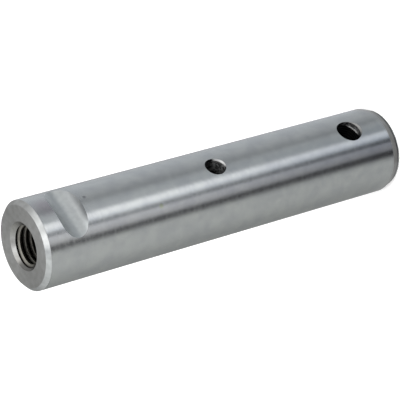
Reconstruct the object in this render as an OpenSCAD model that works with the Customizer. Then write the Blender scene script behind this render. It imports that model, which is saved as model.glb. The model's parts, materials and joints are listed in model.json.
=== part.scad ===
// Spring pin: a hardened and ground steel pin that carries the eye of a leaf spring.
// It is turned from one bar. It stands on its plain end with the tapped end up, and the
// locking groove and both grease holes open towards -Y. All sizes are in millimetres.

/* [Shank] */
// Diameter of the ground shank
shank_d = 28; // [24:0.5:40]
// Length over both end faces
pin_l = 136; // [120:1:200]

/* [End edges] */
// Leg of the 45 degree chamfer at the tapped end
chamfer = 1.25; // [0.5:0.05:2.5]
// Length of the lead-in cone at the plain end
lead_l = 3.4; // [2:0.1:6]
// Slope of the lead-in cone against the axis, in degrees
lead_slope = 20; // [10:1:30]

/* [Tapped end hole] */
// Nominal diameter of the end thread
thread_d = 14; // [10:1:16]
// Pitch of the end thread
thread_pitch = 2; // [1:0.25:2.5]
// Depth of the tapped hole, to where its full width ends
thread_depth = 32; // [24:1:45]
// How far the countersink's rim lies outside the nominal thread, on the radius
mouth_margin = 0.6; // [0.1:0.1:2]
// Included angle of that countersink, in degrees
mouth_angle = 90; // [75:5:120]

/* [Locking groove] */
// Distance from the tapped end to the middle of the groove
groove_at = 11.6; // [9:0.1:30]
// Diameter of the cutter, and of the cross bolt that seats in the groove
groove_d = 10.2; // [8:0.1:14]
// Depth of the groove's floor below the shank's crown
groove_depth = 3.5; // [2:0.1:5]

/* [Grease outlet] */
// Distance from the tapped end to the outlet hole
outlet_at = 66; // [45:0.1:90]
// Diameter of the outlet hole
outlet_d = 6; // [5.4:0.1:9]
// Leg of the outlet's 90 degree edge break, at the crown
outlet_break = 0.6; // [0.4:0.05:1.5]

/* [Grease nipple port] */
// Distance from the plain end to the port
port_at = 16.7; // [12:0.1:30]
// Nominal diameter of the port's fine thread
port_thread_d = 8; // [7:1:12]
// Pitch of the port's fine thread
port_pitch = 1; // [0.5:0.25:1.25]
// Depth of the plain relief above the thread, below the crown
relief_depth = 2.1; // [1:0.1:4]
// How much wider than the nominal thread the relief is, on the radius
relief_margin = 0.05; // [0.05:0.05:0.5]
// Leg of the port's 90 degree edge break, at the crown
port_break = 0.5; // [0.4:0.05:1.5]

/* [Grease gallery] */
// Diameter of the long drilling that joins the tapped hole and both grease holes
gallery_d = 5; // [3:0.1:5.3]
// How far that drilling's full width runs past the port's axis
gallery_past = 5; // [3:0.5:7]
// How far short of that drilling the full width of both grease holes ends, so that
// only the drill's point breaks through
point_short = 0.5; // [0:0.1:1]

/* [Hidden] */
shank_r = shank_d / 2;
lead_leg = lead_l * tan(lead_slope);
// Included angle of a twist drill's point
point_angle = 118;
// Core of an internal metric thread: the nominal diameter less 5/8 of the profile's height twice
core_share = 1.0825;
thread_core_d = thread_d - core_share * thread_pitch;
port_core_d = port_thread_d - core_share * port_pitch;
relief_d = port_thread_d + 2 * relief_margin;
mouth_d = thread_d + 2 * mouth_margin;
groove_z = pin_l - groove_at;
outlet_z = pin_l - outlet_at;
port_z = port_at;
// Distance from the pin's axis at which the full width of both grease holes ends
hole_end = gallery_d / 2 + point_short;
// How far a cutting tool stands out of the metal, so that it cuts clean through the surface
over = 2;
$fn = 128;

// Height of the cone that a drill leaves at the bottom of its hole
function point_h(d) = d / 2 / tan(point_angle / 2);

// Drill of diameter d whose full width starts at z = 0 and whose point is below
module drill(d, h) {
    translate([0, 0, -point_h(d)])
        cylinder(h = point_h(d), r1 = 0, r2 = d / 2);
    cylinder(h = h, r = d / 2);
}

// Countersink that is d wide at its bottom and opens upwards by h
module countersink(d, h, angle) {
    cylinder(h = h, r1 = d / 2, r2 = d / 2 + h * tan(angle / 2));
}

// Puts a tool on the pin's axis at height z, pointing in from the -Y side
module from_front(z) {
    translate([0, 0, z])
        rotate([90, 0, 0])
            children();
}

// The turned and ground bar: lead-in cone below, chamfered tapped end above
module blank() {
    rotate_extrude()
        polygon([
            [0, 0],
            [shank_r - lead_leg, 0],
            [shank_r, lead_l],
            [shank_r, pin_l - chamfer],
            [shank_r - chamfer, pin_l],
            [0, pin_l]
        ]);
}

// Tapping-size hole in the end, with its countersunk mouth
module end_hole() {
    sink_h = (mouth_d - thread_core_d) / 2 / tan(mouth_angle / 2);
    translate([0, 0, pin_l - thread_depth])
        drill(thread_core_d, thread_depth + over);
    translate([0, 0, pin_l - sink_h])
        countersink(thread_core_d, sink_h + over, mouth_angle);
}

// Round-bottomed groove across the shank, where the cross bolt passes
module locking_groove() {
    translate([0, groove_depth - groove_d / 2 - shank_r, groove_z])
        rotate([0, 90, 0])
            cylinder(h = shank_d + 2 * over, r = groove_d / 2, center = true);
}

// Plain grease hole down to the gallery, with a broken edge
module outlet() {
    from_front(outlet_z) {
        translate([0, 0, hole_end])
            drill(outlet_d, shank_r + over - hole_end);
        translate([0, 0, shank_r - outlet_break])
            countersink(outlet_d, outlet_break + over, 90);
    }
}

// Port for a grease nipple: tapping-size hole, plain relief above it and a broken edge
module port() {
    from_front(port_z) {
        translate([0, 0, hole_end])
            drill(port_core_d, shank_r + over - hole_end);
        translate([0, 0, shank_r - relief_depth])
            cylinder(h = relief_depth + over, r = relief_d / 2);
        translate([0, 0, shank_r - port_break])
            countersink(relief_d, port_break + over, 90);
    }
}

// Long drilling along the axis, from the bottom of the tapped hole to the port
module gallery() {
    translate([0, 0, port_z - gallery_past])
        drill(gallery_d, pin_l - thread_depth + gallery_past - port_z);
}

// The finished pin
module spring_pin() {
    color([0.62, 0.63, 0.64])
        difference() {
            blank();
            end_hole();
            locking_groove();
            outlet();
            port();
            gallery();
        }
}

spring_pin();
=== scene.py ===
import json
import math

import bpy
import numpy as np
from mathutils import Matrix, Quaternion, Vector


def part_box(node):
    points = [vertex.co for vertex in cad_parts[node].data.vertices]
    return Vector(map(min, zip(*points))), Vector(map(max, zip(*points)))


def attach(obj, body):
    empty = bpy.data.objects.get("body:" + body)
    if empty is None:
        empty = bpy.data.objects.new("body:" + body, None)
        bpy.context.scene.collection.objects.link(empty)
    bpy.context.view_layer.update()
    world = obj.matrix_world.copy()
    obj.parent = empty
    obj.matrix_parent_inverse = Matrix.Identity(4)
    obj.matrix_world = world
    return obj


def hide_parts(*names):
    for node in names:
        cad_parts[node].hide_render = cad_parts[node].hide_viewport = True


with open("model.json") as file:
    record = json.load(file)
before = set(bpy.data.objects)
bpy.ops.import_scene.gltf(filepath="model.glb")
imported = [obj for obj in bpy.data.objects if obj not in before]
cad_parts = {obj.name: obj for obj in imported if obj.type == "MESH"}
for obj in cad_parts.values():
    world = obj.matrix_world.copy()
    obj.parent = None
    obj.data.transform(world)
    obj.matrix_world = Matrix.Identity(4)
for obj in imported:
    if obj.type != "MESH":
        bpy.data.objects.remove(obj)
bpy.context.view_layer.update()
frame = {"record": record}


# Camera
# It looks down on the standing pin from 33 degrees above the floor. It is rolled past a right
# angle, so that the tapped end points left and slightly down, as in the photograph.
MM = 0.001
IN_METRES = Matrix.Scale(MM, 4)
AIM_AT = Vector((-0.82, 0.48, 71.66)) * MM
CAMERA_DISTANCE = 637 * MM
CAMERA_ROUND = math.radians(-33.2)
CAMERA_ABOVE = math.radians(32.83)
CAMERA_ROLL = math.radians(105.75)
LENS_MM = 183.4
SENSOR_MM = 36
NEAREST_SEEN = 0.05
FURTHEST_SEEN = 20

camera = bpy.data.objects.new("camera", bpy.data.cameras.new("camera"))
camera.data.lens = LENS_MM
camera.data.sensor_width = SENSOR_MM
camera.data.clip_start = NEAREST_SEEN
camera.data.clip_end = FURTHEST_SEEN
away = Vector((
    math.sin(CAMERA_ROUND) * math.cos(CAMERA_ABOVE),
    -math.cos(CAMERA_ROUND) * math.cos(CAMERA_ABOVE),
    math.sin(CAMERA_ABOVE),
))
camera.location = AIM_AT + CAMERA_DISTANCE * away
camera.rotation_mode = "QUATERNION"
camera.rotation_quaternion = (-away).to_track_quat("-Z", "Y") @ Quaternion((0, 0, 1), -CAMERA_ROLL)
bpy.context.scene.collection.objects.link(camera)
bpy.context.scene.camera = camera
bpy.context.scene.view_settings.view_transform = "Standard"


# Bar
# One length of medium-carbon steel, turned to its end chamfers and faced on both ends, then
# hardened and ground on the outside. The grinding leaves fine marks round the shank, which
# spread reflections along it; the turned ends keep rings from the tool's point.
MOUNTS = {mount["name"]: mount for mount in frame["record"]["mounts"]}
low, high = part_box("spring_pin")
PIN_L = (high.z - low.z) / MM
SHANK_R = MOUNTS["shank"]["dims"]["r_mm"]
CHAMFER = 1.25
LEAD_L = 3.4
LEAD_SLOPE = math.radians(20)
EDGE_R = 0.2
BAR_SIDES = 256
# Upward share of a face's normal, from which it counts as an end face, or as slanted at all
END_FACE = 0.99
SLANTED = 0.01


def linear(code):
    """An sRGB hex colour as the linear RGBA that a socket takes."""
    shares = [int(code[k:k + 2], 16) / 255 for k in (1, 3, 5)]
    return [s / 12.92 if s <= 0.04045 else ((s + 0.055) / 1.055) ** 2.4 for s in shares] + [1]


def add(tree, kind, inputs=None, **settings):
    """Adds a node with its settings. inputs gives each socket a value, or the output that feeds it."""
    made = tree.nodes.new(kind)
    for key, value in settings.items():
        setattr(made, key, value)
    for key, value in (inputs or {}).items():
        if isinstance(value, bpy.types.NodeSocket):
            tree.links.new(value, made.inputs[key])
        else:
            made.inputs[key].default_value = value
    return made


def blank_material(name):
    """A material with an empty tree but for its output."""
    made = bpy.data.materials.new(name)
    made.use_nodes = True
    made.node_tree.nodes.clear()
    return made, made.node_tree, made.node_tree.nodes.new("ShaderNodeOutputMaterial")


def rounded(profile, radius, steps=3):
    """The profile with each inner corner replaced by a short arc, as a deburred edge."""
    points = [profile[0]]
    for before, at, after in zip(profile, profile[1:], profile[2:]):
        before, at, after = Vector(before), Vector(at), Vector(after)
        one, two = (before - at).normalized(), (after - at).normalized()
        half = one.angle(two) / 2
        middle = at + (one + two).normalized() * radius / math.sin(half)
        start = at + one * radius / math.tan(half) - middle
        end = at + two * radius / math.tan(half) - middle
        for k in range(steps + 1):
            points.append(tuple(middle + start.lerp(end, k / steps).normalized() * radius))
    return points + [profile[-1]]


def solid(name, verts, faces, materials, place=Matrix()):
    """A mesh object from its corner points."""
    mesh = bpy.data.meshes.new(name)
    mesh.from_pydata([place @ Vector(v) for v in verts], [], faces)
    for material in materials:
        mesh.materials.append(material)
    made = bpy.data.objects.new(name, mesh)
    bpy.context.scene.collection.objects.link(made)
    return made


def turned(name, profile, sides, materials, place=Matrix(), finish=None, capped=True):
    """A form turned about Z. The profile runs from the bottom to the top as (radius, height).

    finish gives the material's number for the foot, each stretch of the profile and the top.
    capped closes the foot and the top where the profile doesn't start or end on the axis.
    """
    verts, rings, faces, bands = [], [], [], []
    for radius, height in profile:
        count = sides if radius else 1
        rings.append([len(verts) + k for k in range(count)])
        for k in range(count):
            turn = 2 * math.pi * k / sides
            verts.append((radius * math.cos(turn), radius * math.sin(turn), height))
    for band, (lower, upper) in enumerate(zip(rings, rings[1:]), 1):
        for k in range(sides):
            n = (k + 1) % sides
            corners = [lower[k % len(lower)], lower[n % len(lower)]]
            corners += [upper[n % len(upper)], upper[k % len(upper)]]
            faces.append(list(dict.fromkeys(corners)))
            bands.append(band)
    if capped and len(rings[0]) > 1:
        faces.append(rings[0][::-1])
        bands.append(0)
    if capped and len(rings[-1]) > 1:
        faces.append(rings[-1])
        bands.append(len(rings))
    made = solid(name, verts, faces, materials, place)
    for face, band in zip(made.data.polygons, bands):
        face.material_index = finish[band] if finish else 0
    return made


def set_tones(ramp, tones):
    """Gives a colour ramp its tones, each at a share of the ramp's length."""
    stops = ramp.color_ramp.elements
    for k, (share, tone) in enumerate(sorted(tones)):
        stop = stops[k] if k < 2 else stops.new(share)
        stop.position = share
        stop.color = linear(tone)


def tones_by_azimuth(tree, where, tones):
    """A colour ramp round the pin. tones gives the colour at each azimuth in degrees."""
    turn = add(tree, "ShaderNodeTexGradient", {"Vector": where}, gradient_type="RADIAL")
    ramp = add(tree, "ShaderNodeValToRGB", {0: turn.outputs["Fac"]})
    set_tones(ramp, [((azimuth / 360 + 0.5) % 1, tone) for azimuth, tone in tones])
    return ramp.outputs[0]


# Ground steel mirrors softly: sharp round the shank and smeared along it. Slight waves left by
# the grinding wheel make the streaks waver, and faint clouds make it a little uneven in tone.
# One patch beside the groove is a little darker and purple, and one small speck of greenish
# grease sits on the bright streak. Real grinding marks are too fine to show, so they are drawn
# several times as wide.
GRIND_LENGTH = 14 * MM
GRIND_WIDTH = 0.35 * MM
GRIND_DEPTH = 0.004 * MM
RIPPLE_LENGTH = 2.8 * MM
RIPPLE_WIDTH = 1.2 * MM
RIPPLE_DEPTH = 0.03 * MM
CLOUD_LENGTH = 5 * MM
TINT_AT = Vector((2.6, -13.8, PIN_L - 5.3)) * MM
TINT_FULL = 1.5 * MM
TINT_END = 5 * MM
SPECK_AT = Vector((-7.3, -12, PIN_L - 41.5)) * MM
SPECK_FULL = 0.4 * MM
SPECK_END = 1 * MM

ground_steel, tree, out = blank_material("ground_steel_shank")
where = add(tree, "ShaderNodeTexCoord").outputs["Object"]
grind_at = add(tree, "ShaderNodeVectorMath", {
    0: where,
    1: (1 / GRIND_LENGTH, 1 / GRIND_LENGTH, 1 / GRIND_WIDTH),
}, operation="MULTIPLY")
grind = add(tree, "ShaderNodeTexNoise", {"Vector": grind_at.outputs[0], "Scale": 1, "Detail": 2})
ripple_at = add(tree, "ShaderNodeVectorMath", {
    0: where,
    1: (1 / RIPPLE_LENGTH, 1 / RIPPLE_LENGTH, 1 / RIPPLE_WIDTH),
}, operation="MULTIPLY")
ripple = add(tree, "ShaderNodeTexNoise", {"Vector": ripple_at.outputs[0], "Scale": 1, "Detail": 3})
cloud = add(tree, "ShaderNodeTexNoise", {"Vector": where, "Scale": 1 / CLOUD_LENGTH, "Detail": 3})
clouded = add(tree, "ShaderNodeMapRange", {
    "Value": cloud.outputs["Fac"],
    "From Min": 0.35,
    "From Max": 0.65,
})
tone = add(tree, "ShaderNodeMix", {
    "Factor": clouded.outputs[0],
    6: linear("#BABCBD"),
    7: linear("#C3C5C4"),
}, data_type="RGBA")
from_tint = add(tree, "ShaderNodeVectorMath", {0: where, 1: TINT_AT}, operation="DISTANCE")
tinted = add(tree, "ShaderNodeMapRange", {
    "Value": from_tint.outputs["Value"],
    "From Min": TINT_END,
    "From Max": TINT_FULL,
})
tone = add(tree, "ShaderNodeMix", {
    "Factor": tinted.outputs[0],
    6: tone.outputs[2],
    7: linear("#B1AEB2"),
}, data_type="RGBA")
from_speck = add(tree, "ShaderNodeVectorMath", {0: where, 1: SPECK_AT}, operation="DISTANCE")
specked = add(tree, "ShaderNodeMapRange", {
    "Value": from_speck.outputs["Value"],
    "From Min": SPECK_END,
    "From Max": SPECK_FULL,
})
tone = add(tree, "ShaderNodeMix", {
    "Factor": specked.outputs[0],
    6: tone.outputs[2],
    7: linear("#BEC3B0"),
}, data_type="RGBA")
rough = add(tree, "ShaderNodeMapRange", {
    "Value": grind.outputs["Fac"],
    "From Min": 0.3,
    "From Max": 0.7,
    "To Min": 0.19,
    "To Max": 0.27,
})
ripple_bump = add(tree, "ShaderNodeBump", {
    "Strength": 1,
    "Distance": RIPPLE_DEPTH,
    "Height": ripple.outputs["Fac"],
})
grind_bump = add(tree, "ShaderNodeBump", {
    "Strength": 0.3,
    "Distance": GRIND_DEPTH,
    "Height": grind.outputs["Fac"],
    "Normal": ripple_bump.outputs["Normal"],
})
round_axis = add(tree, "ShaderNodeTangent", direction_type="RADIAL", axis="Z")
shader = add(tree, "ShaderNodeBsdfPrincipled", {
    "Base Color": tone.outputs[2],
    "Metallic": 1,
    "Roughness": rough.outputs[0],
    "Anisotropic": 0.5,
    "Anisotropic Rotation": 0.25,
    "Normal": grind_bump.outputs["Normal"],
    "Tangent": round_axis.outputs[0],
})
tree.links.new(shader.outputs[0], out.inputs["Surface"])

# Turned steel has a satin look, because the tool's fine rings smear what it mirrors. They are
# drawn coarser than a fine cut leaves them, so that they show.
RING_WIDTH = 0.3 * MM
RING_DEPTH = 0.02 * MM
STAIN_LENGTH = 2 * MM


def lathe_steel(name, dull, bright, patches):
    """Turned steel with the tool's rings, clouded from dull to bright.

    patches dim it by azimuth, as painted reflection.
    """
    made, tree, out = blank_material(name)
    where = add(tree, "ShaderNodeTexCoord").outputs["Object"]
    split = add(tree, "ShaderNodeSeparateXYZ", {0: where})
    flat = add(tree, "ShaderNodeCombineXYZ", {0: split.outputs[0], 1: split.outputs[1]})
    reach = add(tree, "ShaderNodeVectorMath", {0: flat.outputs[0]}, operation="LENGTH")
    ring_at = add(tree, "ShaderNodeCombineXYZ", {0: reach.outputs["Value"], 1: split.outputs[2]})
    ring = add(tree, "ShaderNodeTexNoise", {
        "Vector": ring_at.outputs[0],
        "Scale": 1 / RING_WIDTH,
        "Detail": 1,
    })
    stain = add(tree, "ShaderNodeTexNoise", {"Vector": where, "Scale": 1 / STAIN_LENGTH, "Detail": 3})
    tone = add(tree, "ShaderNodeMix", {
        "Factor": stain.outputs["Fac"],
        6: linear(dull),
        7: linear(bright),
    }, data_type="RGBA")
    tone = add(tree, "ShaderNodeMix", {
        "Factor": 1,
        6: tone.outputs[2],
        7: tones_by_azimuth(tree, where, patches),
    }, data_type="RGBA", blend_type="MULTIPLY")
    ring_bump = add(tree, "ShaderNodeBump", {
        "Strength": 0.6,
        "Distance": RING_DEPTH,
        "Height": ring.outputs["Fac"],
    })
    shader = add(tree, "ShaderNodeBsdfPrincipled", {
        "Base Color": tone.outputs[2],
        "Metallic": 1,
        "Roughness": 0.33,
        "Anisotropic": 0.5,
        "Anisotropic Rotation": 0.25,
        "Normal": ring_bump.outputs["Normal"],
        "Tangent": add(tree, "ShaderNodeTangent", direction_type="RADIAL", axis="Z").outputs[0],
    })
    tree.links.new(shader.outputs[0], out.inputs["Surface"])
    return made


# The end faces are even in tone. The chamfer has dimmer patches between bright ones round it,
# as painted reflection of the brighter and dimmer parts of the room that it mirrors.
turned_steel = lathe_steel("turned_steel_end", "#959692", "#C3C4C4", [(0, "#FFFFFF"), (180, "#FFFFFF")])
chamfer_steel = lathe_steel("turned_steel_chamfer", "#999B9A", "#CACCCC", [
    (140, "#FDFFFF"),
    (210, "#FDFFFF"),
    (222, "#DEE0E2"),
    (233, "#FFFFFF"),
    (249, "#E8E8E8"),
    (260, "#FFFFFF"),
    (272, "#FFFFFF"),
    (290, "#E0E0E0"),
    (320, "#F2F2F2"),
    (345, "#DCDCDC"),
    (8, "#E4E4E4"),
    (32, "#FFFFFF"),
])

lead_leg = LEAD_L * math.tan(LEAD_SLOPE)
bar_profile = [
    (0, 0),
    (SHANK_R - lead_leg, 0),
    (SHANK_R, LEAD_L),
    (SHANK_R, PIN_L - CHAMFER),
    (SHANK_R - CHAMFER, PIN_L),
    (0, PIN_L),
]
bar_steels = [ground_steel, turned_steel, chamfer_steel]
pin = turned("ground_pin", rounded(bar_profile, EDGE_R)[1:-1], BAR_SIDES, bar_steels)
for face in pin.data.polygons:
    if abs(face.normal.z) > END_FACE or face.center.z < LEAD_L:
        face.material_index = 1
    elif face.center.z > PIN_L - CHAMFER - EDGE_R and face.normal.z > SLANTED:
        face.material_index = 2


# Tapped end hole
# A hole drilled a little off the axis to the core of an M14 x 2 thread, countersunk and tapped.
# The tap's tapered lead leaves the last turns shallower. Its cut flanks are rough, and the roots
# between them are painted dark with shade.
THREAD_D = 14
THREAD_PITCH = 2
THREAD_CORE_R = MOUNTS["end_thread"]["dims"]["r_mm"]
THREAD_DEPTH = 32
THREAD_RUNOUT = 2
TAP_LEAD = 5
# How far below the end face the first crest passes the +X side
FIRST_CREST = 0.75
MOUTH_R = 7.6
MOUTH_ANGLE = math.radians(90)
HOLE_ASIDE = Vector((-0.14, -0.2, 0))
POINT_ANGLE = math.radians(118)
MOUTH_SIDES = 128
TAP_SIDES = 96
# How far a cutting tool stands out of the metal, so that it cuts clean through the surface
OVER = 3


def point_height(radius):
    """Height of the cone that a drill leaves at the bottom of its hole."""
    return radius / math.tan(POINT_ANGLE / 2)


def tap(name, nominal_r, core_r, pitch, foot, runout, lead, crest, top, sides, material, place=Matrix()):
    """A drilled and tapped hole as one tool: drill point, core, tapered lead and full thread.

    crest is the height at which one crest passes angle 0. The grid of points is sheared, so that
    each row follows the helix, and a full turn joins a row to the one that lies a pitch above.
    The thread fades to the core at both ends, so that the seam faces there are flat.
    """
    # One pitch of a metric thread: a crest flat of a quarter and a root flat of an eighth
    shape = [(-1 / 8, core_r), (1 / 8, core_r), (7 / 16, nominal_r), (9 / 16, nominal_r)]
    first = math.ceil((foot + runout - crest) / pitch)
    last = math.floor((top - crest) / pitch) - 1
    rows = [(crest + (turn + share) * pitch, r) for turn in range(first, last) for share, r in shape]
    fade_foot = rows[0][0] + pitch
    fade_top = rows[-1][0] - pitch
    wrap = len(shape)
    verts = [(0, 0, foot - point_height(core_r))]
    turns = [2 * math.pi * k / sides for k in range(sides)]
    spots = [(math.cos(turn), math.sin(turn)) for turn in turns]
    verts += [(core_r * x, core_r * y, foot) for x, y in spots]
    for k, (x, y) in enumerate(spots):
        for height, r in rows:
            z = height + pitch * k / sides
            room = max(0, min(z - fade_foot, fade_top - z))
            r = min(r, core_r + room * (nominal_r - core_r) / lead)
            verts.append((r * x, r * y, z))
    verts += [(core_r * x, core_r * y, top) for x, y in spots]
    low_ring = list(range(1, sides + 1))
    high_ring = list(range(len(verts) - sides, len(verts)))

    def at(k, row):
        return 1 + sides + k * len(rows) + row

    end = len(rows) - 1
    faces = [(0, low_ring[(k + 1) % sides], low_ring[k]) for k in range(sides)]
    for k in range(sides - 1):
        faces.append((low_ring[k], low_ring[k + 1], at(k + 1, 0), at(k, 0)))
        for row in range(end):
            faces.append((at(k, row), at(k + 1, row), at(k + 1, row + 1), at(k, row + 1)))
        faces.append((at(k, end), at(k + 1, end), high_ring[k + 1], high_ring[k]))
    k = sides - 1
    faces.append([low_ring[k], low_ring[0]] + [at(0, row) for row in range(wrap + 1)] + [at(k, 0)])
    for row in range(end - wrap):
        faces.append((at(k, row), at(0, row + wrap), at(0, row + wrap + 1), at(k, row + 1)))
    seam = [at(k, row) for row in range(end, end - wrap - 1, -1)]
    faces.append(seam + [at(0, end), high_ring[0], high_ring[k]])
    faces.append(high_ring)
    return solid(name, verts, faces, [material], place)


def cut(work, tool):
    """Cuts the tool out of the work. The new walls keep the tool's material."""
    step = work.modifiers.new(tool.name, "BOOLEAN")
    step.object = tool
    step.operation = "DIFFERENCE"
    step.solver = "EXACT"
    step.material_mode = "TRANSFER"
    bpy.context.view_layer.update()
    seen = work.evaluated_get(bpy.context.evaluated_depsgraph_get())
    mesh = bpy.data.meshes.new_from_object(seen)
    work.modifiers.clear()
    work.data = mesh
    bpy.data.objects.remove(tool)


# The countersink is brighter on one side and darker round the rest, and faintly clouded.
COUNTERSINK_CLOUD = 0.8 * MM

sided_steel, tree, out = blank_material("stained_steel_countersink")
where = add(tree, "ShaderNodeTexCoord").outputs["Object"]
side_tone = tones_by_azimuth(tree, where, [
    (0, "#9A9B98"),
    (27, "#9FA09F"),
    (42, "#909090"),
    (56, "#A6A7A7"),
    (87, "#A4A4A2"),
    (102, "#787877"),
    (200, "#7C7B79"),
    (310, "#8C8C8A"),
])
cloud = add(tree, "ShaderNodeTexNoise", {"Vector": where, "Scale": 1 / COUNTERSINK_CLOUD, "Detail": 3})
shade = add(tree, "ShaderNodeMix", {
    "Factor": cloud.outputs["Fac"],
    6: linear("#D2D0CC"),
    7: linear("#FFFFFF"),
}, data_type="RGBA")
tone = add(tree, "ShaderNodeMix", {
    "Factor": 1,
    6: side_tone,
    7: shade.outputs[2],
}, data_type="RGBA", blend_type="MULTIPLY")
shader = add(tree, "ShaderNodeBsdfPrincipled", {
    "Base Color": tone.outputs[2],
    "Metallic": 1,
    "Roughness": 0.33,
})
tree.links.new(shader.outputs[0], out.inputs["Surface"])

# The tap leaves clean crests, which show as thin bright rings. The roots between them are painted
# near black from one radius to the other, as painted shade deep in the thread.
ROOT_SHADE_FROM = 6.3
ROOT_SHADE_FULL = 6.65
SMEAR_LENGTH = 1.5 * MM
SMEAR_DEPTH = 0.03 * MM

tapped_steel, tree, out = blank_material("tapped_steel_thread")
where = add(tree, "ShaderNodeTexCoord").outputs["Object"]
split = add(tree, "ShaderNodeSeparateXYZ", {0: where})
flat = add(tree, "ShaderNodeCombineXYZ", {0: split.outputs[0], 1: split.outputs[1]})
reach = add(tree, "ShaderNodeVectorMath", {0: flat.outputs[0]}, operation="LENGTH")
# Painted shade: darker towards the thread's roots
root_shaded = add(tree, "ShaderNodeMapRange", {
    "Value": reach.outputs["Value"],
    "From Min": ROOT_SHADE_FROM * MM,
    "From Max": ROOT_SHADE_FULL * MM,
})
smear = add(tree, "ShaderNodeTexNoise", {"Vector": where, "Scale": 1 / SMEAR_LENGTH, "Detail": 3})
tone = add(tree, "ShaderNodeMix", {
    "Factor": smear.outputs["Fac"],
    6: linear("#605E58"),
    7: linear("#999790"),
}, data_type="RGBA")
tone = add(tree, "ShaderNodeMix", {
    "Factor": root_shaded.outputs[0],
    6: tone.outputs[2],
    7: linear("#2C2825"),
}, data_type="RGBA")
smear_bump = add(tree, "ShaderNodeBump", {
    "Strength": 0.4,
    "Distance": SMEAR_DEPTH,
    "Height": smear.outputs["Fac"],
})
shader = add(tree, "ShaderNodeBsdfPrincipled", {
    "Base Color": tone.outputs[2],
    "Metallic": 1,
    "Roughness": 0.3,
    "Normal": smear_bump.outputs["Normal"],
})
tree.links.new(shader.outputs[0], out.inputs["Surface"])

mouth_slope = math.tan(MOUTH_ANGLE / 2)
end_sink = turned("end_sink", [
    (MOUTH_R - OVER * mouth_slope, PIN_L - OVER),
    (MOUTH_R + OVER * mouth_slope, PIN_L + OVER),
], MOUTH_SIDES, [sided_steel], Matrix.Translation(HOLE_ASIDE))
cut(pin, end_sink)
end_tap = tap(
    "end_tap", THREAD_D / 2, THREAD_CORE_R, THREAD_PITCH, foot=PIN_L - THREAD_DEPTH,
    runout=THREAD_RUNOUT, lead=TAP_LEAD, crest=PIN_L - FIRST_CREST, top=PIN_L + 4 * OVER,
    sides=TAP_SIDES, material=tapped_steel, place=Matrix.Translation(HOLE_ASIDE),
)
cut(pin, end_tap)


# Locking groove
# A round-bottomed groove milled straight across the shank with a form cutter, where a cross
# bolt passes and locks the pin. Milling leaves streaks along the groove.
GROOVE = MOUNTS["locking_groove"]
GROOVE_R = GROOVE["dims"]["r_mm"]
GROOVE_Y = GROOVE["pos_m"][1] / MM
GROOVE_Z = GROOVE["pos_m"][2] / MM
GROOVE_SIDES = 160

# Milled steel is duller than the ground shank. Fine streaks run along the groove, drawn wider than
# real ones, and blotches from handling make it uneven. Painted light and shade make it grow brighter
# from its side towards the pin's foot to its side towards the tapped end, and a painted highlight
# brightens one end of its foot side.
STREAK_LENGTH = 6 * MM
STREAK_WIDTH = 0.5 * MM
STREAK_DEPTH = 0.01 * MM
BLOTCH_LENGTH = 1.5 * MM
# The blotches multiply the tone by these, which aren't colours
BLOTCH_DIM = (0.84, 0.85, 0.87, 1)
BLOTCH_LIT = (1.16, 1.16, 1.14, 1)
# Painted light and shade across the groove, as tones at shares of the cutter's diameter
GROOVE_LIGHT_TONES = [
    (0.06, "#8A8C8D"),
    (0.17, "#A5A8A9"),
    (0.33, "#B4B8B9"),
    (0.5, "#B8BCBD"),
    (0.85, "#D3D5D6"),
]
# Places where the painted highlight starts and is full, along the groove and below its middle
GLINT_FROM = -4
GLINT_FULL = -8
GLINT_BELOW_FROM = 1.8
GLINT_BELOW_FULL = 3.6

milled_steel, tree, out = blank_material("milled_steel_groove")
where = add(tree, "ShaderNodeTexCoord").outputs["Object"]
streak_at = add(tree, "ShaderNodeVectorMath", {
    0: where,
    1: (1 / STREAK_LENGTH, 1 / STREAK_WIDTH, 1 / STREAK_WIDTH),
}, operation="MULTIPLY")
streak = add(tree, "ShaderNodeTexNoise", {"Vector": streak_at.outputs[0], "Scale": 1, "Detail": 2})
blotch = add(tree, "ShaderNodeTexNoise", {"Vector": where, "Scale": 1 / BLOTCH_LENGTH, "Detail": 2})
split = add(tree, "ShaderNodeSeparateXYZ", {0: where})
side = add(tree, "ShaderNodeMapRange", {
    "Value": split.outputs[2],
    "From Min": (GROOVE_Z - GROOVE_R) * MM,
    "From Max": (GROOVE_Z + GROOVE_R) * MM,
})
# Painted light and shade across the groove
lit_across = add(tree, "ShaderNodeValToRGB", {0: side.outputs[0]})
set_tones(lit_across, GROOVE_LIGHT_TONES)
glint_along = add(tree, "ShaderNodeMapRange", {
    "Value": split.outputs[0],
    "From Min": GLINT_FROM * MM,
    "From Max": GLINT_FULL * MM,
})
glint_below = add(tree, "ShaderNodeMapRange", {
    "Value": split.outputs[2],
    "From Min": (GROOVE_Z - GLINT_BELOW_FROM) * MM,
    "From Max": (GROOVE_Z - GLINT_BELOW_FULL) * MM,
})
# Painted highlight at one end of the groove's foot side
glint = add(tree, "ShaderNodeMath", {
    0: glint_along.outputs[0],
    1: glint_below.outputs[0],
}, operation="MULTIPLY")
glinted = add(tree, "ShaderNodeMix", {
    "Factor": glint.outputs[0],
    6: lit_across.outputs[0],
    7: linear("#C2C6C7"),
}, data_type="RGBA")
blotched = add(tree, "ShaderNodeMix", {
    "Factor": blotch.outputs["Fac"],
    6: BLOTCH_DIM,
    7: BLOTCH_LIT,
}, data_type="RGBA")
tone = add(tree, "ShaderNodeMix", {
    "Factor": 1,
    6: glinted.outputs[2],
    7: blotched.outputs[2],
}, data_type="RGBA", blend_type="MULTIPLY")
streak_bump = add(tree, "ShaderNodeBump", {
    "Strength": 0.3,
    "Distance": STREAK_DEPTH,
    "Height": streak.outputs["Fac"],
})
shader = add(tree, "ShaderNodeBsdfPrincipled", {
    "Base Color": tone.outputs[2],
    "Metallic": 1,
    "Roughness": 0.4,
    "Normal": streak_bump.outputs["Normal"],
})
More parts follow.
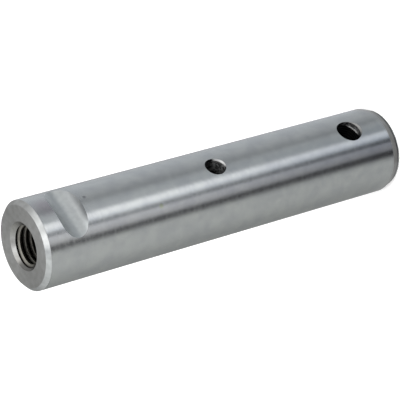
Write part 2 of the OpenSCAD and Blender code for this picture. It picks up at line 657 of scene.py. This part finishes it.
tree.links.new(shader.outputs[0], out.inputs["Surface"])

across = Matrix.Translation((0, GROOVE_Y, GROOVE_Z)) @ Matrix.Rotation(math.pi / 2, 4, "Y")
half_cut = SHANK_R + OVER
groove_cutter = turned("groove_cutter", [
    (GROOVE_R, -half_cut),
    (GROOVE_R, half_cut),
], GROOVE_SIDES, [milled_steel], across)
cut(pin, groove_cutter)


# Grease outlet
# A plain drilled hole at mid length, from the shank down to the long gallery on the axis, with
# its edge broken by a countersink so that it can't scrape the bush.
OUTLET = MOUNTS["grease_outlet"]
OUTLET_R = OUTLET["dims"]["r_mm"]
OUTLET_Z = OUTLET["pos_m"][2] / MM
OUTLET_BREAK = 0.6
# How far the countersink sits aside from its hole
SINK_ASIDE = Vector((0.3, 0, 0.2))
# Distance from the pin's axis at which the full width of both grease holes ends
HOLE_FOOT = 3
HOLE_SIDES = 96
# Near black that is painted inside the holes beyond a line, as painted shade
HOLE_SHADE = "#131415"
# Direction across a grease hole in which the painted shade begins
HOLE_SHADE_SIDE = Vector((-0.5, 0, 0.87))
SWARF_LENGTH = 0.8 * MM
SWARF_DEPTH = 0.04 * MM


def hole_shade_share(tree, where, hole, line, fade, side=HOLE_SHADE_SIDE):
    """Share of painted shade round the hole at that height.

    line is its distance in millimetres from the hole's middle, towards side. It is unshaded before
    the line and painted dark beyond it, and fade is half the width over which that changes.
    """
    from_hole = add(tree, "ShaderNodeVectorMath", {0: where, 1: (0, 0, hole * MM)}, operation="SUBTRACT")
    over_line = add(tree, "ShaderNodeVectorMath", {
        0: from_hole.outputs[0],
        1: side,
    }, operation="DOT_PRODUCT")
    return add(tree, "ShaderNodeMapRange", {
        "Value": over_line.outputs["Value"],
        "From Min": (line - fade) * MM,
        "From Max": (line + fade) * MM,
    }).outputs[0]


def cut_steel(name, hole, line, fade, unshaded, roughness, side=HOLE_SHADE_SIDE):
    """A plain cut surface in a hole, unshaded on one side of a line and painted dark with shade beyond
    it.
    """
    made, tree, out = blank_material(name)
    where = add(tree, "ShaderNodeTexCoord").outputs["Object"]
    tone = add(tree, "ShaderNodeMix", {
        "Factor": hole_shade_share(tree, where, hole, line, fade, side),
        6: linear(unshaded),
        7: linear(HOLE_SHADE),
    }, data_type="RGBA")
    shader = add(tree, "ShaderNodeBsdfPrincipled", {
        "Base Color": tone.outputs[2],
        "Metallic": 1,
        "Roughness": roughness,
    })
    tree.links.new(shader.outputs[0], out.inputs["Surface"])
    return made


def drilled_steel(name, hole, line, fade, unshaded):
    """A bore's wall: torn and patchy from the drill, and painted dark with shade beyond the line."""
    made, tree, out = blank_material(name)
    where = add(tree, "ShaderNodeTexCoord").outputs["Object"]
    swarf = add(tree, "ShaderNodeTexNoise", {"Vector": where, "Scale": 1 / SWARF_LENGTH, "Detail": 3})
    patchy = add(tree, "ShaderNodeMapRange", {
        "Value": swarf.outputs["Fac"],
        "From Min": 0.38,
        "From Max": 0.62,
    })
    tone = add(tree, "ShaderNodeMix", {
        "Factor": patchy.outputs[0],
        6: linear("#1D1D1E"),
        7: linear(unshaded),
    }, data_type="RGBA")
    tone = add(tree, "ShaderNodeMix", {
        "Factor": hole_shade_share(tree, where, hole, line, fade),
        6: tone.outputs[2],
        7: linear(HOLE_SHADE),
    }, data_type="RGBA")
    swarf_bump = add(tree, "ShaderNodeBump", {
        "Strength": 0.5,
        "Distance": SWARF_DEPTH,
        "Height": swarf.outputs["Fac"],
    })
    shader = add(tree, "ShaderNodeBsdfPrincipled", {
        "Base Color": tone.outputs[2],
        "Metallic": 0.6,
        "Roughness": 0.42,
        "Normal": swarf_bump.outputs["Normal"],
    })
    tree.links.new(shader.outputs[0], out.inputs["Surface"])
    return made


def from_front(height):
    """Points a tool's Z axis out of the -Y side, at that height on the pin's axis."""
    return Matrix.Translation((0, 0, height)) @ Matrix.Rotation(math.pi / 2, 4, "X")


# The outlet's countersink is bright towards the pin's foot, and the wall below it is dim. Both
# are painted dark with shade beyond a line across the hole.
outlet_edge = cut_steel(
    "cut_steel_outlet_edge", OUTLET_Z, line=-2.3, fade=0.4, unshaded="#B2B3B3", roughness=0.33,
)
outlet_wall = drilled_steel("drilled_steel_outlet", OUTLET_Z, line=-1.6, fade=1, unshaded="#878889")
outlet_sink = turned("outlet_sink", [
    (OUTLET_R + OUTLET_BREAK - OVER, SHANK_R - OVER),
    (OUTLET_R + OUTLET_BREAK + OVER, SHANK_R + OVER),
], HOLE_SIDES, [outlet_edge], Matrix.Translation(SINK_ASIDE) @ from_front(OUTLET_Z))
cut(pin, outlet_sink)
outlet_drill = turned("outlet_drill", [
    (0, HOLE_FOOT - point_height(OUTLET_R)),
    (OUTLET_R, HOLE_FOOT),
    (OUTLET_R, SHANK_R + 2 * OVER),
], HOLE_SIDES, [outlet_wall], from_front(OUTLET_Z))
cut(pin, outlet_drill)


# Nipple port
# The hole for a grease nipple near the plain end: an M8 x 1 thread under a plain relief, whose
# flat floor shows as a bright step inside the hole. It is drilled, counterbored and tapped.
PORT = MOUNTS["nipple_port"]
PORT_CORE_R = PORT["dims"]["r_mm"]
PORT_Z = PORT["pos_m"][2] / MM
PORT_THREAD_D = 8
PORT_PITCH = 1
RELIEF_R = 4.05
RELIEF_DEPTH = 2.1
PORT_BREAK = 0.5
# How far above the step one crest passes the +X side
PORT_CREST = 0.21
PORT_RUNOUT = 1
PORT_LEAD = 1
PORT_TAP_SIDES = 64
# Direction across the port in which the step's painted shade begins
STEP_SHADE_SIDE = Vector((-0.36, 0, 0.93))

# The port's step is painted brighter than steel on the side towards the pin's foot, as a painted
# highlight, and dark with shade beyond a line. Its turns are painted near black with shade, and its
# edge is broken by hand, so that it is duller than the turned faces. The edge and the wall are
# painted dark with shade beyond a line too.
port_wall = drilled_steel("drilled_steel_port", PORT_Z, line=-2.4, fade=0.9, unshaded="#6A6B6C")
port_step = cut_steel(
    "cut_steel_port_step", PORT_Z, line=-3.3, fade=0.35, unshaded="#FFFFFD", roughness=0.6,
    side=STEP_SHADE_SIDE,
)
port_edge = cut_steel(
    "cut_steel_port_edge", PORT_Z, line=-1.8, fade=1, unshaded="#939392", roughness=0.5,
)
port_turns = cut_steel(
    "cut_steel_port_turns", PORT_Z, line=-4, fade=0.5, unshaded="#3A3835", roughness=0.45,
)
port_relief = turned("port_relief", [
    (RELIEF_R, SHANK_R - RELIEF_DEPTH),
    (RELIEF_R, SHANK_R - PORT_BREAK),
    (RELIEF_R + PORT_BREAK + OVER, SHANK_R + OVER),
], HOLE_SIDES, [port_wall, port_step, port_edge], from_front(PORT_Z), finish=(1, 0, 2, 2))
cut(pin, port_relief)
port_tap = tap(
    "port_tap", PORT_THREAD_D / 2, PORT_CORE_R, PORT_PITCH, foot=HOLE_FOOT, runout=PORT_RUNOUT,
    lead=PORT_LEAD, crest=SHANK_R - RELIEF_DEPTH + PORT_CREST, top=SHANK_R + 2 * OVER,
    sides=PORT_TAP_SIDES, material=port_turns, place=from_front(PORT_Z),
)
cut(pin, port_tap)


# Grease gallery
# The long drilling on the axis that carries grease from the tapped hole to the outlet and the
# port. It is hidden but for what shows through them, and its wall is as the outlet's.
GALLERY_R = 2.5
GALLERY_PAST = 5
GALLERY_SIDES = 48

gallery_foot = PORT_Z - GALLERY_PAST
gallery_drill = turned("gallery_drill", [
    (0, gallery_foot - point_height(GALLERY_R)),
    (GALLERY_R, gallery_foot),
    (GALLERY_R, PIN_L - THREAD_DEPTH),
], GALLERY_SIDES, [outlet_wall])
cut(pin, gallery_drill)


# Punch mark
# A small conical pit beside the groove, as a centre punch leaves to show which way the pin's
# holes face once it is fitted. The point has pressed the steel dull, and the pit is painted
# darker than the ground shank round it, as painted shade in the pit.
PUNCH_R = 0.6
PUNCH_SLOPE = math.radians(71)
PUNCH_FROM_END = 18.6
PUNCH_ROUND = math.radians(277.8)
PUNCH_SIDES = 32
# A line of painted shade so far off that none of it reaches the pit
NO_SHADE_LINE = 100

punch_steel = cut_steel(
    "pressed_steel_punch_mark", PIN_L - PUNCH_FROM_END, line=NO_SHADE_LINE, fade=1, unshaded="#929496",
    roughness=0.4,
)
punch_depth = PUNCH_R / math.tan(PUNCH_SLOPE)
punch_at = Matrix.Rotation(PUNCH_ROUND, 4, "Z") @ Matrix.Translation(
    (SHANK_R - punch_depth, 0, PIN_L - PUNCH_FROM_END)
) @ Matrix.Rotation(math.pi / 2, 4, "Y")
punch_tip = turned("punch_tip", [
    (0, 0),
    (2 * PUNCH_R, 2 * punch_depth),
], PUNCH_SIDES, [punch_steel], punch_at)
cut(pin, punch_tip)


# Finished surface
# The cut mesh gets the true normals of its round surfaces, so that the ground shank mirrors
# without facets: about the pin's axis for the bar, and about the cutter's axis for the groove.
CREASE_ANGLE = math.radians(28)
SHANK_SLACK = 0.01

pin.data.shade_smooth()
pin.data.set_sharp_from_angle(angle=CREASE_ANGLE)
pin.data.transform(IN_METRES)
count = len(pin.data.loops)
normals = np.empty(count * 3)
pin.data.corner_normals.foreach_get("vector", normals)
normals = normals.reshape(-1, 3)
slots = [material.name for material in pin.data.materials]


def true_normals(face, centre, axis):
    """Turns the face's own normal to each corner, round an axis through centre."""
    for loop in face.loop_indices:
        spoke = pin.data.vertices[pin.data.loops[loop].vertex_index].co - centre
        spoke -= spoke.dot(axis) * axis
        along = face.normal.dot(axis)
        outward = math.sqrt(max(0, 1 - along ** 2))
        if face.normal.dot(spoke) <= 0:
            outward = -outward
        normals[loop] = spoke.normalized() * outward + along * axis


for face in pin.data.polygons:
    finish = slots[face.material_index]
    middle = Vector((face.center.x, face.center.y, 0)).length / MM
    if finish == ground_steel.name and middle > SHANK_R - SHANK_SLACK:
        true_normals(face, Vector(), Vector((0, 0, 1)))
    elif finish in (turned_steel.name, chamfer_steel.name):
        true_normals(face, Vector(), Vector((0, 0, 1)))
    elif finish == milled_steel.name:
        true_normals(face, Vector((0, GROOVE_Y, GROOVE_Z)) * MM, Vector((1, 0, 0)))
pin.data.normals_split_custom_set(normals.tolist())

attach(pin, "root")
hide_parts("spring_pin")


# Floor
# A plain white table, painted matt, which the pin stands on. The camera and the metal see it a
# little brighter than its paint, as an overlit studio table, and it still shows the pin's shadow.
FLOOR_SIZE = 6
FLOOR_GLOW = 0.3

white_table, tree, out = blank_material("white_table")
paint = add(tree, "ShaderNodeBsdfDiffuse", {"Color": linear("#F4F4F4")})
glow = add(tree, "ShaderNodeEmission", {"Color": linear("#FFFFFF")})
ray = add(tree, "ShaderNodeLightPath")
seen_or_glossy = add(tree, "ShaderNodeMath", {
    0: ray.outputs["Is Camera Ray"],
    1: ray.outputs["Is Glossy Ray"],
}, operation="MAXIMUM")
seen = add(tree, "ShaderNodeMath", {
    0: seen_or_glossy.outputs[0],
    1: ray.outputs["Is Transmission Ray"],
}, operation="MAXIMUM")
strength = add(tree, "ShaderNodeMath", {0: seen.outputs[0], 1: FLOOR_GLOW}, operation="MULTIPLY")
tree.links.new(strength.outputs[0], glow.inputs["Strength"])
both = add(tree, "ShaderNodeAddShader", {0: paint.outputs[0], 1: glow.outputs[0]})
tree.links.new(both.outputs[0], out.inputs["Surface"])
edge = FLOOR_SIZE / 2
corners = [(-edge, -edge, 0), (edge, -edge, 0), (edge, edge, 0), (-edge, edge, 0)]
floor = solid("floor", corners, [(0, 1, 2, 3)], [white_table])


# Light tent
# Cloth panels hang round and above the pin, and only its mirroring metal sees them. The table
# cloth makes the long streaks on the shank: one lamp shines up through it and one gap is dark.
# The walls light the groove, and the roof lights the chamfer and the countersink.
TENT_CENTRE = (-3.9 * MM, -5.9 * MM, 0)
TENT_SIDES = 96
# Points of the tent's profile, as (radius, height) in millimetres
TABLE_MIDDLE = (0, 0.3)
TABLE_EDGE = (420, 0.3)
WALL_MIDDLE = (900, 500)
WALL_TOP = (900, 900)
ROOF_EDGE = (300, 1300)
ROOF_MIDDLE = (0, 1300)
SHADE_MIDDLE = (0, 0.5)
SHADE_EDGE = (13.35, 0.5)
FOOT_CLOTH_EDGE = (17, 0.5)
TABLE_GLOW = 1.57
CLOTH_GLOW = 1.5
ROOF_GLOW = 2.7
# The painted shadow of the pin's foot on the table cloth starts and is full at these distances
FOOT_SHADOW_FROM = 200 * MM
FOOT_SHADOW_FULL = 25 * MM
TABLE_TONES = [
    (0, "#ACB0B4"),
    (26, "#A7AAAD"),
    (46, "#5C5C5C"),
    (66, "#5C5C5C"),
    (84, "#7B7D7C"),
    (116, "#8D8F8E"),
    (140, "#9D9F9E"),
    (160, "#A9ABAA"),
    (198, "#A9ABAA"),
    (209, "#414143"),
    (216, "#414143"),
    (223, "#ACACAE"),
    (238, "#C8C9CD"),
    (243, "#7E8083"),
    (248, "#7E8083"),
    (256, "#E3E7EC"),
    (262, "#FCFDFF"),
    (269, "#FCFDFF"),
    (277, "#A7ABAE"),
    (292, "#A4A8AB"),
    (308, "#818487"),
    (330, "#9FA2A5"),
]
# Painted shadow of the pin's foot, by azimuth, which dims the table cloth near the foot
FOOT_SHADOW_TONES = [
    (100, "#F0F0F0"),
    (190, "#F4F4F4"),
    (205, "#BABABE"),
    (236, "#A8AAB1"),
    (250, "#A0A3A9"),
    (262, "#C2C6CD"),
    (290, "#E0E2E4"),
    (300, "#FFFFFF"),
]
FOOT_CLOTH_TONES = [
    (0, "#A4A4A4"),
    (36, "#9E9E9E"),
    (90, "#929292"),
    (200, "#8A8A8A"),
    (250, "#8C8C8C"),
    (320, "#A0A1A4"),
]
FOOT_SHADE_TONES = [
    (60, "#303032"),
    (100, "#6A6A6C"),
    (160, "#6A6A6C"),
    (190, "#505052"),
    (225, "#303032"),
]
WALL_TONES = [
    (15, "#BCBCBC"),
    (35, "#989898"),
    (57, "#8C8C8C"),
    (80, "#8A8A8A"),
    (105, "#BCBCBC"),
    (130, "#D5D5D5"),
    (200, "#CBCBCB"),
    (308, "#D0D0D0"),
    (340, "#C7C7C7"),
]
ROOF_TONES = [
    (0, "#C4C4C4"),
    (50, "#A4A4A4"),
    (110, "#989898"),
    (150, "#BCBCBC"),
    (200, "#C0C0C0"),
    (230, "#F4F4F4"),
    (250, "#F4F4F4"),
    (280, "#DDDDDD"),
    (310, "#DDDDDD"),
    (335, "#B0B0B0"),
]


def hang(name, profile, tones, strength, foot_shadow=None):
    """Hangs one ring of glowing cloth, toned round the pin.

    The foot tones, if given, dim it near the foot, as a painted shadow of the pin.
    """
    cloth, tree, out = blank_material("glowing_" + name)
    place = add(tree, "ShaderNodeTexCoord").outputs["Object"]
    where = add(tree, "ShaderNodeVectorMath", {0: place, 1: TENT_CENTRE}, operation="SUBTRACT")
    colour = tones_by_azimuth(tree, where.outputs[0], tones)
    if foot_shadow:
        reach = add(tree, "ShaderNodeVectorMath", {0: place}, operation="LENGTH")
        near = add(tree, "ShaderNodeMapRange", {
            "Value": reach.outputs["Value"],
            "From Min": FOOT_SHADOW_FROM,
            "From Max": FOOT_SHADOW_FULL,
        })
        colour = add(tree, "ShaderNodeMix", {
            "Factor": near.outputs[0],
            6: colour,
            7: tones_by_azimuth(tree, where.outputs[0], foot_shadow),
        }, data_type="RGBA", blend_type="MULTIPLY").outputs[2]
    glow = add(tree, "ShaderNodeEmission", {"Color": colour, "Strength": strength})
    tree.links.new(glow.outputs[0], out.inputs["Surface"])
    panel = turned(name, profile, TENT_SIDES, [cloth], IN_METRES, capped=False)
    for ray in ("camera", "diffuse", "transmission", "volume_scatter", "shadow"):
        setattr(panel, "visible_" + ray, False)


hang("table_cloth", [TABLE_MIDDLE, TABLE_EDGE], TABLE_TONES, TABLE_GLOW, FOOT_SHADOW_TONES)
hang("foot_shade", [SHADE_MIDDLE, SHADE_EDGE], FOOT_SHADE_TONES, CLOTH_GLOW)
hang("foot_cloth", [SHADE_EDGE, FOOT_CLOTH_EDGE], FOOT_CLOTH_TONES, CLOTH_GLOW)
hang("wall_cloth", [TABLE_EDGE, WALL_MIDDLE, WALL_TOP], WALL_TONES, CLOTH_GLOW)
hang("roof_cloth", [WALL_TOP, ROOF_EDGE, ROOF_MIDDLE], ROOF_TONES, ROOF_GLOW)


# Studio light
# Even white light from all round, as from the walls of a studio, and one softbox that hangs
# higher than the camera and a little further round the pin.
SURROUND_STRENGTH = 0.9
SOFTBOX_ROUND = math.radians(250)
SOFTBOX_ABOVE = math.radians(55)
SOFTBOX_DISTANCE = 0.8
SOFTBOX_SIZE = 0.3
SOFTBOX_WATTS = 4

world = bpy.data.worlds.new("studio")
bpy.context.scene.world = world
world.use_nodes = True
surround = world.node_tree.nodes["Background"]
surround.inputs["Color"].default_value = linear("#FFFFFF")
surround.inputs["Strength"].default_value = SURROUND_STRENGTH
softbox = bpy.data.objects.new("softbox", bpy.data.lights.new("softbox", "AREA"))
softbox.data.size = SOFTBOX_SIZE
softbox.data.energy = SOFTBOX_WATTS
toward = Vector((
    math.cos(SOFTBOX_ROUND) * math.cos(SOFTBOX_ABOVE),
    math.sin(SOFTBOX_ROUND) * math.cos(SOFTBOX_ABOVE),
    math.sin(SOFTBOX_ABOVE),
))
softbox.location = AIM_AT + SOFTBOX_DISTANCE * toward
softbox.rotation_mode = "QUATERNION"
softbox.rotation_quaternion = (-toward).to_track_quat("-Z", "Y")
softbox.visible_camera = False
softbox.visible_glossy = False
bpy.context.scene.collection.objects.link(softbox)
